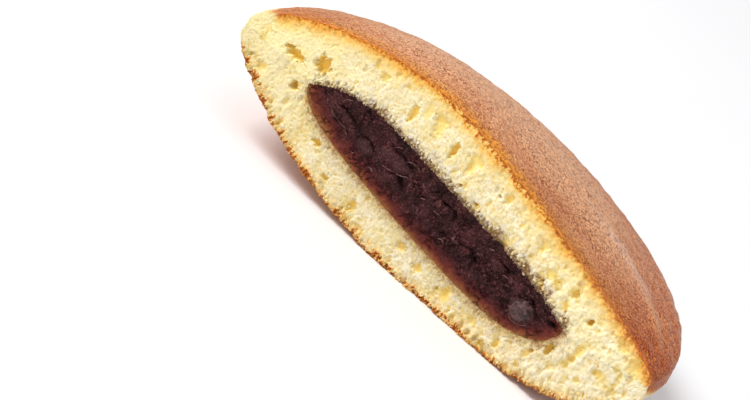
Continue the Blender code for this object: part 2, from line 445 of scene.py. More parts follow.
def paste_share(x, y, radius):
    return np.minimum(1, np.hypot(x - PASTE_SIDE, y - PASTE_BACK) / radius)


def paste_top(x, y, extra=0.0):
    fullness, roundness = PASTE_TOP_FORM
    roundness = roundness + PASTE_TIP_SHARPNESS * np.clip((PASTE_SIDE - x) / PASTE_RADIUS, 0, 1) ** 2
    share = paste_share(x, y, PASTE_RADIUS + extra)
    return seam(x, y) + (PASTE_RISE + PASTE_RISE_SLOPE * x + extra) * (1 - share**fullness) ** roundness


def paste_bottom(x, y, extra=0.0):
    fullness, roundness = PASTE_BOTTOM_FORM
    share = paste_share(x, y, PASTE_RADIUS + extra)
    return seam(x, y) - (PASTE_DROP + PASTE_DROP_SLOPE * x + extra) * (1 - share**fullness) ** roundness


def rim_shaped(points):
    """The outline wanders a little, and the edge of each cake rounds into a groove at the seam."""
    x, y, z = points.T
    distance = from_axis(x, y)
    share = distance / RIM_RADIUS
    turn = np.stack((x, y - CENTRE_BACK), 0) / np.maximum(distance, MM)
    wandering = OUTLINE_UNEVENNESS * wander(turn[0], turn[1], z * 4, 0.7) * share**3
    above_seam = (z - rim_height(x)) / SEAM_GROOVE_WIDTH
    outwards = wandering - SEAM_GROOVE / RIM_RADIUS * np.exp(-(above_seam**2)) * share**24
    return np.stack((x + outwards * x, y + outwards * np.maximum(0, y - CENTRE_BACK), z), 1)


# --- building fine meshes -----------------------------------------------------------------------


def walked_along(line):
    """How far along a line of points each of them lies."""
    return np.concatenate(([0.0], np.cumsum(np.linalg.norm(np.diff(line, axis=0), axis=1))))


def points_at(line, steps):
    """The places on a line of points that lie these steps along it."""
    walked = walked_along(line)
    return np.stack([np.interp(steps, walked, side) for side in line.T], 1)


def cut_line(form, radius, side, back, count):
    """Where a form meets the plane of the knife, from tip to tip, as evenly spaced (x, z)."""
    half = math.sqrt(radius**2 - back**2)
    x = side + half * np.sin(np.linspace(-math.pi / 2, math.pi / 2, 4001))
    line = np.stack((x, form(x, 0 * x)), 1)
    return points_at(line, np.linspace(0, walked_along(line)[-1], count + 1))


def rim_end(x, radius, side, back):
    """The point of the rim that a line from x on the cut runs back to."""
    number = np.linspace(-1, 1, 2001)
    half = math.sqrt(radius**2 - back**2)
    chord = side + half * (0.5 * number + 0.5 * np.sin(number * math.pi / 2))
    turn = math.pi / 2 - np.interp(x, chord, number) * (math.pi / 2 + math.asin(back / radius))
    return side + radius * np.cos(turn), back + radius * np.sin(turn)


def skin_line(form, start_x, end, rows):
    """Points on a form from the cut back to the rim, close together at both ends."""
    share = np.sin(np.linspace(0, math.pi / 2, 160))
    x, y = mix(start_x, end[0], share), mix(0.0, end[1], share)
    line = np.stack((x, y, form(x, y)), 1)
    step = 0.3 + np.sin(np.linspace(0, math.pi, rows)) ** 0.5
    wanted = np.concatenate(([0.0], np.cumsum(step))) / step.sum()
    return points_at(line, wanted * walked_along(line)[-1])


class Half:
    """A closed half-round mesh between the forms low and high, with a fine cut face.

    points holds the cut face's columns first, then the two skins behind it. Behind the cut there
    is a column for every second one of the cut's.
    """

    def __init__(self, low, high, radius, side, back, columns, cut_rows, low_rows, high_rows):
        bottom = cut_line(low, radius, side, back, columns)
        top = cut_line(high, radius, side, back, columns)
        self.bottom, self.top = bottom, top
        rows = np.linspace(0, 1, cut_rows + 1)[None, :, None]
        flat = mix(bottom[1:-1, None, :], top[1:-1, None, :], rows)
        count = columns - 1
        cut = np.stack((flat[..., 0], 0 * flat[..., 0], flat[..., 1]), -1)
        points = [cut.reshape(-1, 3)]
        at = np.arange(count * (cut_rows + 1)).reshape(count, cut_rows + 1)
        self.cut_count = at.size
        total = at.size

        def keep(more):
            nonlocal total
            points.append(more.reshape(-1, 3))
            total += len(points[-1])
            return np.arange(total - len(points[-1]), total)

        left, right = keep(np.array([(bottom[i, 0], 0.0, bottom[i, 1]) for i in (0, -1)]))
        faces = [quads(at)]
        odd = np.arange(1, count, 2)
        rim_x, rim_y = rim_end(top[1:-1][odd, 0], radius, side, back)
        rim = keep(np.stack((rim_x, rim_y, low(rim_x, rim_y)), 1))
        spans = []
        for form, line, rows_behind, edge in ((high, top, high_rows, cut_rows), (low, bottom, low_rows, 0)):
            starts = line[1:-1][odd, 0]
            ends = zip(rim_x, rim_y)
            lines = [skin_line(form, x, end, rows_behind)[1:-1] for x, end in zip(starts, ends)]
            begin = total
            inner = keep(np.array(lines)).reshape(len(odd), rows_behind - 1)
            spans.append((begin, total))
            sheet = np.concatenate((inner, rim[:, None]), 1)
            faces.append(quads(sheet))
            faces.append(knit(at[:, edge], sheet[:, 0], odd))
            faces.append(fan(left, [at[0, edge], at[1, edge], *sheet[0]]))
            faces.append(fan(right, [at[-1, edge], at[-2, edge], *sheet[-1]]))
        for tip, column in ((left, 0), (right, -1)):
            faces.append(fan(tip, at[column]))
        self.borders = {edge: {left, right, *at[:, edge].tolist()} for edge in (0, cut_rows)}
        self.points = np.concatenate(points)
        self.faces = [tuple(face) for group in faces for face in group]
        self.high_span, self.low_span = spans


def quads(at):
    """Quads of a grid of point numbers."""
    return np.stack((at[:-1, :-1], at[1:, :-1], at[1:, 1:], at[:-1, 1:]), -1).reshape(-1, 4).tolist()


def knit(fine, coarse, places):
    """Five-sided faces from a fine row to a coarse one, whose points face those places of the fine."""
    steps = zip(places, places[1:], coarse, coarse[1:])
    return [(fine[a], fine[a + 1], fine[b], far_b, far_a) for a, b, far_a, far_b in steps]


def fan(tip, line):
    return [(tip, a, b) for a, b in zip(line, line[1:])]


def object_from(name, points, faces):
    loose = bpy.data.meshes.new(name + "_faces")
    loose.from_pydata(points.tolist(), [], faces)
    work = bmesh.new()
    work.from_mesh(loose)
    bpy.data.meshes.remove(loose)
    bmesh.ops.recalc_face_normals(work, faces=work.faces)
    return object_of(name, work)


def sharpen(thing, corners):
    """Marks the edges between these corners as crisp."""
    for edge in thing.data.edges:
        if edge.vertices[0] in corners and edge.vertices[1] in corners:
            edge.use_edge_sharp = True


def give(thing, **layers):
    """Stores numbers for the points of the mesh, under these names."""
    for name, values in layers.items():
        layer = thing.data.attributes.new(name, "FLOAT", "POINT")
        layer.data.foreach_set("value", np.asarray(values, np.float32))


def nearest(points, line):
    """For each point, how far the nearest point of the line is and which it is. Both are (x, z)."""
    far = np.empty(len(points))
    which = np.empty(len(points), int)
    for start in range(0, len(points), 4000):
        part = slice(start, start + 4000)
        gaps = np.linalg.norm(points[part, None] - line[None], axis=2)
        which[part] = gaps.argmin(1)
        far[part] = gaps.min(1)
    return far, which


def oval_shares(points, ovals):
    """For each (x, z), its share of the way out of the nearest oval, and which oval that is."""
    shares = [
        np.hypot((points[:, 0] - x * MM) / (wide * MM), (points[:, 1] - z * MM) / (tall * MM))
        for x, z, wide, tall, _ in ovals
    ]
    return np.min(shares, 0), np.argmin(shares, 0)


def fading(back, reach):
    """1 at the cut, and less and less behind it."""
    return np.exp(-back / reach)


def bell(distance, width):
    return np.exp(-((distance / width) ** 2))


# --- geometry trees -----------------------------------------------------------------------------


def new_tree(name, **sizes):
    """The nodes of an empty geometry tree, its named inputs, and the places of a piece's points."""
    tree = bpy.data.node_groups.new(name, "GeometryNodeTree")
    for way in ("OUTPUT", "INPUT"):
        tree.interface.new_socket("Geometry", in_out=way, socket_type="NodeSocketGeometry")
    kinds = {int: "NodeSocketInt", float: "NodeSocketFloat", bpy.types.Material: "NodeSocketMaterial"}
    for label, value in sizes.items():
        socket = tree.interface.new_socket(label, in_out="INPUT", socket_type=kinds[type(value)])
        socket.default_value = value
    nodes = Nodes(tree)
    entry = nodes.add("NodeGroupInput")
    place = nodes.add("GeometryNodeInputPosition").outputs[0]
    return nodes, {socket.name: socket for socket in entry.outputs}, place


def finish_tree(nodes, geometry, material):
    solid = nodes.add("GeometryNodeRealizeInstances", geometry)
    looks = nodes.add("GeometryNodeSetMaterial", solid.outputs[0], Material=material)
    nodes.add("NodeGroupOutput", looks.outputs[0])
    return nodes.tree


def run_tree(thing, tree, **sizes):
    """Sets the tree's named inputs and makes what it gives the thing's plain mesh."""
    growing = thing.modifiers.new(tree.name, "NODES")
    growing.node_group = tree
    for socket in tree.interface.items_tree:
        if socket.in_out == "INPUT" and socket.name in sizes:
            growing[socket.identifier] = sizes[socket.name]
    graph = bpy.context.evaluated_depsgraph_get()
    made = bpy.data.meshes.new_from_object(thing.evaluated_get(graph))
    thing.modifiers.remove(growing)
    thing.data = made
    return thing


def pores(nodes, where, size, open_share, depth, seed, sharp=True):
    """Holes in a share of the cells of a pattern, as a depth. The sharp ones have steep walls."""
    cells = nodes.cells(where, nodes.over(1.0, size), voronoi_dimensions="4D", W=seed)
    chance = nodes.split(cells["Color"])
    share = nodes.over(cells["Distance"], nodes.span(chance[1], 0.0, 1.0, 0.25, 0.60))
    if sharp:
        inside = nodes.maths("MAXIMUM", nodes.minus(1.0, nodes.maths("POWER", share, 2.0)), 0.0)
        bowl = nodes.maths("POWER", inside, 0.6)
    else:
        bowl = nodes.fade(share, 0.1, 1.1)
    return nodes.times(bowl, nodes.maths("LESS_THAN", chance[0], open_share), depth)


def crumb_hollows(nodes, sizes, place, flat, warped, edge_place):
    """The depth of the pores in the cut, and its cottony, broad and clumpy unevenness."""
    times = nodes.times
    seed = sizes["seed"]
    frayed, pressed, torn = (nodes.read(name) for name in ("frayed", "pressed", "torn"))
    tall_place = nodes.vector("MULTIPLY", warped, (1.0, 1.0, 0.75))
    dents = pores(nodes, tall_place, sizes["dent_size"], 0.42, sizes["dent_depth"], seed, sharp=False)
    towards_tip = nodes.span(nodes.split(place)[0], 0.0, 30 * MM)
    open_share = nodes.span(towards_tip, 0.0, 1.0, 0.16, 0.30)
    holes = pores(nodes, warped, sizes["hole_size"], open_share, sizes["hole_depth"], seed)
    pits = pores(nodes, warped, sizes["pit_size"], 0.30, sizes["pit_depth"], seed)
    columns = times(pores(nodes, edge_place, 0.95 * MM, 0.5, 0.8 * MM, seed), nodes.span(torn, 0.04, 0.3))
    wavy = nodes.noise(flat, 0.7 * MM, detail=4.0, roughness=0.7)
    bubble_share = nodes.plus(nodes.read("bubble"), nodes.span(wavy, 0.3, 0.7, -0.42, 0.42))
    bubble = times(nodes.fade(bubble_share, 0.5, 1.2), nodes.read("bubble_depth"))
    smooth = nodes.span(pressed, 0.4, 1.0, 1.0, 0.6)
    deep = times(nodes.maths("MAXIMUM", dents, holes, pits, columns, bubble), smooth)

    threads = nodes.ripple(flat, 0.5 * MM, detail=3.0, roughness=0.6)
    cotton_size = nodes.plus(1.0, nodes.plus(times(frayed, 2.6), torn))
    in_hollow = nodes.span(nodes.maths("MAXIMUM", dents, bubble), 0.1 * MM, 0.4 * MM, 1.0, 0.25)
    cotton = times(threads, sizes["cotton"], 3.0, cotton_size, smooth, in_hollow)
    unpressed = nodes.span(pressed, 0.0, 0.8, 1.0, 0.1)
    swell = times(nodes.ripple(flat, 5.0 * MM, detail=1.0), 0.8 * MM, unpressed)
    clump_size = nodes.span(towards_tip, 0.0, 1.0, 0.2, 1.3)
    clumps = times(nodes.ripple(warped, 1.7 * MM), clump_size, smooth, 1.0 * MM)
    return deep, cotton, swell, clumps


def skin_peel(nodes, sizes, place, warped):
    """How far the browned skin stands out, and the pinholes in its pale band."""
    bumps = nodes.times(nodes.ripple(place, 2.6 * MM), 7.0)
    pale = nodes.fade(nodes.read("browned"), 0.1, 0.6)
    pucker = nodes.ripple(nodes.upright(place), 1.3 * MM, detail=3.0, roughness=0.6)
    pinholes = nodes.times(pores(nodes, warped, 0.9 * MM, 0.16, 3.0, sizes["seed"]), pale)
    puckers = nodes.minus(nodes.times(pucker, pale, 6.0), pinholes)
    peel = nodes.plus(nodes.ripple(place, 1.0 * MM, roughness=0.7), bumps, puckers)
    return nodes.times(peel, nodes.read("skinned"), sizes["skin_grain"], 2.0), pinholes


def sponge_relief(material):
    """Opens pores in the cut, frays and tears its edges and gives the skin its fine unevenness."""
    nodes, sizes, place = new_tree(
        "sponge_relief",
        dent_size=3.0 * MM,
        dent_depth=0.75 * MM,
        hole_size=1.35 * MM,
        hole_depth=0.5 * MM,
        pit_size=0.62 * MM,
        pit_depth=0.22 * MM,
        cotton=0.19 * MM,
        ragged=0.5 * MM,
        skin_grain=0.05 * MM,
        tallness=0.75,
        seed=1.0,
        material=material,
    )
    flat = nodes.vector("MULTIPLY", place, nodes.join(1.0, 1.0, sizes["tallness"]))
    warp = nodes.shake(flat, 0.9 * MM)
    warped = nodes.vector("ADD", flat, nodes.scaled(warp, 1.2 * MM))
    inwards = nodes.times(nodes.read("skin"), FIBRE_SQUEEZE)
    across_edge = nodes.join(nodes.read("along"), nodes.split(place)[1], inwards)
    edge_place = nodes.vector("ADD", across_edge, nodes.scaled(warp, 0.5 * MM))
    shown = nodes.read("open")

    deep, cotton, swell, clumps = crumb_hollows(nodes, sizes, place, flat, warped, edge_place)
    lift = nodes.times(nodes.read("frayed"), -0.22 * MM)
    hollow = nodes.plus(nodes.plus(deep, cotton), nodes.plus(swell, lift), clumps)
    back = nodes.join(0.0, nodes.times(hollow, shown), 0.0)
    tear = nodes.shake(edge_place, 0.5 * MM, detail=3.0, roughness=0.6)
    tear = nodes.vector("ADD", tear, nodes.shake(place, 2.5 * MM))
    tear = nodes.vector("MULTIPLY", tear, (1.0, 0.6, 1.0))
    torn_way = nodes.scaled(tear, nodes.times(nodes.read("torn"), sizes["ragged"], 1.6))
    peel, pinholes = skin_peel(nodes, sizes, place, warped)
    peel_way = nodes.scaled(nodes.add("GeometryNodeInputNormal").outputs[0], peel)

    way = nodes.vector("ADD", nodes.vector("ADD", back, torn_way), peel_way)
    moved = nodes.move(sizes["Geometry"], way)
    low = nodes.plus(cotton, swell, clumps)
    noted = nodes.note(moved, pore=nodes.times(deep, shown), low=nodes.times(low, shown), pinhole=pinholes)
    return finish_tree(nodes, noted, sizes["material"])


def crumb_tree(material):
    """Scatters torn crumbs over the cut, thickest beside the paste and along the torn edge."""
    nodes, sizes, place = new_tree(
        "torn_crumbs",
        everywhere=0.03,
        beside_paste=3.0,
        along_edge=1.5,
        smallest=0.05 * MM,
        largest=0.12 * MM,
        seed=5,
        material=material,
    )
    per_square_mm = 1 / MM**2
    thick = nodes.plus(
        nodes.times(nodes.read("frayed"), sizes["beside_paste"]),
        nodes.times(nodes.read("torn"), sizes["along_edge"]),
        nodes.times(nodes.read("cut"), sizes["everywhere"]),
    )
    smooth = nodes.fade(nodes.read("pressed"), 0.05, 0.4)
    on_cut = nodes.maths("GREATER_THAN", nodes.read("open"), 0.3)
    spread = nodes.add(
        "GeometryNodeDistributePointsOnFaces",
        Mesh=sizes["Geometry"],
        Density=nodes.times(thick, nodes.times(smooth, per_square_mm), on_cut),
        Seed=sizes["seed"],
    )
    cleared = nodes.note(spread.outputs["Points"], pore=0.0, low=0.0, stained=0.0, tuft=1.0)
    deeper = nodes.draw("FLOAT", 0.0, 0.7 * MM)
    lighter = nodes.note(cleared, skin=nodes.plus(nodes.read("skin"), deeper))
    crumb = nodes.add("GeometryNodeMeshUVSphere", Segments=7, Rings=5)
    size = nodes.draw("FLOAT", sizes["smallest"], sizes["largest"])
    stretch = nodes.draw("FLOAT_VECTOR", (0.35, 0.35, 0.35), (2.6, 2.6, 2.6))
    turn = nodes.draw("FLOAT_VECTOR", (0.0, 0.0, 0.0), (math.tau, math.tau, math.tau))
    placed = nodes.add(
        "GeometryNodeInstanceOnPoints",
        Points=lighter,
        Instance=crumb.outputs["Mesh"],
        Rotation=turn,
        Scale=nodes.scaled(stretch, size),
    )
    solid = nodes.add("GeometryNodeRealizeInstances", placed.outputs[0])
    bent = nodes.scaled(nodes.shake(place, 0.16 * MM, detail=3.0, roughness=0.8), 0.5 * MM)
    smooth_faces = nodes.add("GeometryNodeSetShadeSmooth", nodes.move(solid.outputs[0], bent))
    return finish_tree(nodes, smooth_faces.outputs[0], sizes["material"])


def paste_relief(material):
    """Breaks the cut paste into low lumps with creases between them, in patches."""
    nodes, sizes, place = new_tree(
        "paste_relief",
        lump_size=1.6 * MM,
        lump_height=0.3 * MM,
        crease_depth=0.35 * MM,
        grain=0.12 * MM,
        seed=3.0,
        material=material,
    )
    warp = nodes.scaled(nodes.shake(place, 1.0 * MM, detail=3.0), 2.2 * MM)
    warped = nodes.vector("ADD", place, warp)
    pattern = (warped, nodes.over(1.0, sizes["lump_size"]))
    lumps = nodes.cells(*pattern, voronoi_dimensions="4D", W=sizes["seed"])
    edges = nodes.cells(*pattern, voronoi_dimensions="4D", feature="DISTANCE_TO_EDGE", W=sizes["seed"])
    patches = nodes.span(nodes.noise(place, 4.5 * MM), 0.42, 0.58, 0.15, 1.0)
    patches = nodes.times(patches, nodes.span(nodes.read("bean"), 0.0, 0.4, 1.0, 0.15))
    lump = nodes.times(nodes.minus(nodes.split(lumps["Color"])[0], 0.5), patches, sizes["lump_height"])
    crease = nodes.times(nodes.fade(edges["Distance"], 0.0, 0.11), patches)
    grain = nodes.ripple(place, 0.45 * MM, detail=3.0, roughness=0.65)
    grain = nodes.times(grain, nodes.times(sizes["grain"], 2.0))
    back = nodes.plus(lump, nodes.times(crease, sizes["crease_depth"]), grain)
    way = nodes.join(0.0, nodes.times(back, nodes.read("open")), 0.0)
    noted = nodes.note(nodes.move(sizes["Geometry"], way), crease=crease)
    return finish_tree(nodes, noted, sizes["material"])


def skin_tree(material):
    """Turns a line of edges into a thin bean skin that stands out of the paste."""
    nodes, sizes, place = new_tree("bean_skins", thickness=0.08 * MM, height=0.36 * MM, material=material)
    line = nodes.add("GeometryNodeMeshToCurve", sizes["Geometry"])
    along = nodes.add("GeometryNodeSplineParameter").outputs["Factor"]
    arch = nodes.add("ShaderNodeMath", nodes.times(along, math.pi), operation="SINE").outputs[0]
    taper = nodes.plus(0.12, nodes.maths("POWER", arch, 0.6))
    tapered = nodes.add("GeometryNodeSetCurveRadius", Curve=line.outputs[0], Radius=taper)
    profile = nodes.add(
        "GeometryNodeCurvePrimitiveQuadrilateral", Width=sizes["height"], Height=sizes["thickness"]
    )
    ends = {"Curve": tapered.outputs[0], "Profile_Curve": profile.outputs[0], "Fill_Caps": True}
    blade = nodes.add("GeometryNodeCurveToMesh", **ends)
    bent = nodes.scaled(nodes.shake(place, 0.7 * MM), 0.3 * MM)
    return finish_tree(nodes, nodes.move(blade.outputs[0], bent), sizes["material"])


# --- materials ----------------------------------------------------------------------------------


def new_material(name):
    """A material, its nodes, its shader, and places measured on the piece."""
    made = bpy.data.materials.new(name)
    made.use_nodes = True
    nodes = Nodes(made.node_tree)
    place = nodes.add("ShaderNodeTexCoord").outputs["Object"]
    return made, nodes, made.node_tree.nodes["Principled BSDF"], place


def sponge_patterns(nodes, place):
    """What the looks of the sponge share. The lengths across, back, low and skin are in mm."""
    across = nodes.over(nodes.split(place)[0], MM)
    skin = nodes.read("skin")
    paste_gap = nodes.read("paste_gap")
    return SimpleNamespace(
        place=place,
        across=across,
        middle=nodes.times(nodes.span(across, -16, -4), nodes.fade(across, 10, 22)),
        inwards=nodes.times(skin, FIBRE_SQUEEZE),
        skin=nodes.over(skin, MM),
        low=nodes.over(nodes.read("low"), MM),
        back=nodes.read("back"),
        browned=nodes.read("browned"),
        underside=nodes.read("underside"),
        paste_gap=paste_gap,
        tuft=nodes.times(nodes.read("tuft"), nodes.span(paste_gap, 0.3, 1.1)),
        wobble=nodes.noise(place, 5 * MM, detail=4.0, roughness=0.6),
        torn_edge=nodes.noise(place, 0.7 * MM, detail=4.0, roughness=0.65),
        fine=nodes.noise(place, 0.4 * MM, detail=3.0, roughness=0.7),
        clump=nodes.noise(place, 1.3 * MM, detail=3.0, roughness=0.6),
        broad=nodes.noise(place, 3.2 * MM, detail=3.0, roughness=0.6),
    )


def dots(nodes, place, apart, low, high, chance):
    """Round dots in a share of the cells of a pattern."""
    cells = nodes.cells(place, 1 / apart)
    drawn = nodes.maths("LESS_THAN", nodes.split(cells["Color"])[0], chance)
    return nodes.times(nodes.fade(cells["Distance"], low, high), drawn)


def plain_skin(nodes, at, brown_share, out):
    """The browned skin without its grain: pale at the rim, then golden, then tan, with painted shade in the
    band's pinholes, painted sheen further back, and a painted highlight along the fold with painted shade
    behind it.
    """
    base = nodes.ramp(
        brown_share,
        (0.0, 242, 216, 156),
        (0.3, 238, 190, 108),
        (0.5, 210, 134, 64),
        (0.75, 190, 106, 54),
        (1.0, 202, 124, 76),
    )
    pale = nodes.fade(brown_share, 0.0, 0.35)
    streaks = nodes.noise(nodes.upright(at.place), 1.3 * MM, detail=3.0, roughness=0.6)
    pinhole = nodes.span(nodes.read("pinhole"), 0.3, 1.5)
    tone = nodes.span(nodes.noise(at.place, 13 * MM, detail=3.0), 0.35, 0.7, 0.0, 0.6)
    rim = nodes.times(nodes.span(out, 0.5, 0.92, 0.0, 0.9), brown_share)
    fold_highlight = nodes.times(nodes.read("fold"), nodes.span(at.wobble, 0.25, 0.6, 0.55, 0.85))
    return nodes.coats(
        base,
        (nodes.times(nodes.span(streaks, 0.4, 0.62), pale), 247, 228, 178),
        # Painted shade: darker gold inside the pinholes of the pale band.
        (nodes.times(pinhole, pale, 0.7), 212, 168, 98),
        (nodes.times(tone, brown_share), 217, 152, 106),
        # Painted sheen: lighter and pinker further back from the cut.
        (nodes.span(at.back, 7.0, 15.0, 0.0, 0.6), 221, 166, 126),
        (nodes.times(rim, nodes.span(at.across, -44, -20, 0.35, 1.0)), 168, 72, 26),
        # Painted highlight along the fold's crest, then painted shade just behind it.
        (fold_highlight, 222, 188, 172),
        (nodes.times(nodes.read("fold_shade"), 0.5), 178, 92, 48),
    )


def skin_grain(nodes, at, out):
    """A fine grain, which is a little coarser on top of the dome."""
    on_top = nodes.times(nodes.span(at.back, 3.0, 9.0), nodes.fade(out, 0.55, 0.8))
    crystal = 0.0
    for size, share in ((0.2 * MM, nodes.minus(1.0, on_top)), (0.26 * MM, on_top)):
        drawn = nodes.split(nodes.cells(at.place, 1 / size)["Color"])[0]
        crystal = nodes.plus(crystal, nodes.times(drawn, share))
    coarse = nodes.noise(at.place, 0.45 * MM, detail=3.0, roughness=0.7)
    return nodes.plus(nodes.times(crystal, 0.62), nodes.times(coarse, 0.38))


def browned_skin(nodes, at):
    """The colour of the skin with its grain, pits and torn edge, and the grain itself."""
    brown_share = nodes.plus(at.browned, nodes.span(at.wobble, 0.3, 0.7, -0.12, 0.12))
    out = nodes.read("rim")
    grain = skin_grain(nodes, at, out)
    patchy = nodes.span(nodes.noise(at.place, 4.0 * MM), 0.3, 0.7, 0.6, 0.9)
    grain_share = nodes.times(patchy, brown_share)
    pit = dots(nodes, at.place, 1.1 * MM, 0.1, 0.2, 0.3)
    crust = nodes.coats(
        plain_skin(nodes, at, brown_share, out),
        (nodes.times(nodes.span(grain, 0.51, 0.61), grain_share, 0.85), 247, 190, 142),
        (nodes.times(nodes.fade(grain, 0.33, 0.46), grain_share), 122, 44, 4),
        (nodes.times(pit, brown_share, 0.75), 98, 42, 20),
    )
    front_right = nodes.times(nodes.span(at.across, 2, 14), nodes.fade(at.back, 6.0, 17.0))
    crust = nodes.tints(crust, (nodes.times(front_right, brown_share), 238, 226, 212))
    line = nodes.times(nodes.span(at.back, 0.1, 1.8, 0.55, 0.0), brown_share)
    crust = nodes.coats(crust, (line, 208, 122, 38))
    left = nodes.times(nodes.fade(at.across, -42, -24), brown_share)
    crust = nodes.tints(crust, (left, 240, 252, 248))

    # Along the torn edge the skin has come away in flakes.
    edge_reach = nodes.plus(nodes.span(at.wobble, 0.4, 0.6, 0.2, 0.6), nodes.times(at.middle, 1.7))
    by_edge = nodes.minus(1.0, nodes.over(at.back, edge_reach))
    shown = nodes.times(nodes.span(by_edge, -0.8, 0.2), brown_share)
    crust = nodes.coats(
        crust,
        (nodes.times(nodes.span(at.torn_edge, 0.48, 0.58, 0.0, 0.9), shown), 244, 166, 62),
        (nodes.times(nodes.span(at.torn_edge, 0.40, 0.47, 0.75, 0.0), shown), 158, 78, 26),
    )
    crust = nodes.tints(
        crust,
        (nodes.times(nodes.fade(at.back, 1.0, 6.0), brown_share), 252, 240, 168),
        (nodes.times(nodes.span(out, 0.55, 0.98), brown_share), 252, 213, 162),
    )
    return crust, grain


def open_crumb(nodes, at):
    """Cream with a fine open grain, with painted light and shade: lighter clump tops, and hollows and pores
    deeper yellow and darker the deeper they go.
    """
    towards_right = nodes.span(at.across, -38, 12, 0.5, 1.0)
    crumb = nodes.coats(
        nodes.blend(nodes.span(at.fine, 0.32, 0.56), rgb(224, 192, 110), rgb(247, 232, 197)),
        (nodes.span(at.broad, 0.44, 0.62, 0.0, 0.5), 243, 221, 154),
        # Painted light and shade of clumps: darker yellow between them, lighter cream on their tops.
        (nodes.times(nodes.fade(at.clump, 0.34, 0.5), towards_right, 0.65), 228, 201, 130),
        (nodes.times(nodes.span(at.clump, 0.52, 0.64), towards_right, 0.7), 251, 243, 211),
        (nodes.span(at.across, -44, -16, 0.65, 0.0), 250, 231, 168),
        (nodes.span(at.across, 18, 38, 0.0, 0.45), 252, 241, 200),
    )
    # Painted shade and bounced light: raised crumb a little cooler, deeper hollows darker and yellower.
    cooler = nodes.times(nodes.span(at.low, -0.3, 0.3, 1.0, 0.6), nodes.span(at.across, 4, 24, 1.0, 0.1))
    crumb = nodes.tints(crumb, (nodes.span(at.low, 0.02, 0.3), 247, 237, 194), (cooler, 249, 253, 255))
    # Painted shade and bounced light in the pores: darker and more golden the deeper they are.
    pore = nodes.over(nodes.read("pore"), 1.5 * MM)
    pore_shade = nodes.ramp(
        pore,
        (0.0, 250, 229, 160),
        (0.3, 247, 215, 122),
        (0.6, 243, 198, 82),
        (1.0, 228, 174, 54),
    )
    crumb = nodes.blend(nodes.span(pore, 0.02, 0.2, 0.0, 0.9), crumb, pore_shade)
    speck = dots(nodes, at.place, 1.0 * MM, 0.08, 0.15, 0.28)
    return nodes.coats(crumb, (nodes.times(speck, 0.75), 150, 104, 44))


def beside_paste(nodes, at, crumb):
    """Greys the crumb beside the paste: frayed and smeared above it, with painted shade in the hollows
    there, and pressed smooth below.
    """
    gap = nodes.plus(
        at.paste_gap,
        nodes.span(at.clump, 0.3, 0.7, 0.8, -0.8),
        nodes.span(at.fine, 0.3, 0.7, 0.5, -0.5),
        # Painted shade: greyer where the frayed crumb lies deeper.
        nodes.span(at.low, -0.3, 0.3, 1.2, -1.2),
    )
    above = nodes.ramp(
        nodes.plus(nodes.over(gap, PASTE_HALO), nodes.span(at.across, -34, -22, 0.42, 0.0)),
        (0.0, 150, 128, 126),
        (0.14, 200, 188, 188),
        (0.3, 222, 220, 232),
        (0.46, 240, 241, 254),
        (0.64, 250, 251, 255),
        (1.0, 255, 255, 255),
    )
    crumb = nodes.blend(nodes.minus(1.0, at.underside), crumb, above, how="MULTIPLY")
    # Painted shade: darker and yellower in the deeper hollows.
    crumb = nodes.tints(crumb, (nodes.span(at.low, 0.12, 0.5), 238, 226, 176))
    near = nodes.plus(
        at.paste_gap, nodes.span(at.clump, 0.3, 0.7, 0.45, -0.45), nodes.span(at.fine, 0.3, 0.7, 0.8, -0.8)
    )
    near = nodes.plus(
        nodes.over(near, PASTE_HALO),
        nodes.span(at.torn_edge, 0.3, 0.7, 0.16, -0.19),
        nodes.span(at.across, -33, -29, 0.4, 0.0),
    )
    below = nodes.ramp(
        near,
        (0.0, 174, 142, 124),
        (0.12, 198, 178, 156),
        (0.28, 214, 206, 198),
        (0.42, 228, 225, 224),
        (0.64, 241, 240, 246),
        (0.82, 247, 247, 252),
    )
    crumb = nodes.blend(at.underside, crumb, below, how="MULTIPLY")
    crumb = nodes.coats(crumb, (nodes.times(at.tuft, 0.7), 250, 240, 208))
    # Paste smears, the seam and painted shade in the hollow at the paste's tip darken the crumb here.
    stained = nodes.read("stained")
    smear = nodes.plus(nodes.noise(at.place, 0.3 * MM, roughness=0.6), nodes.times(stained, 0.42))
    smear = nodes.times(nodes.span(smear, 0.6, 0.76, 0.0, 0.85), nodes.span(stained, 0.04, 0.2))
    return nodes.blend(smear, crumb, nodes.blend(stained, rgb(150, 124, 80), rgb(92, 58, 42)))


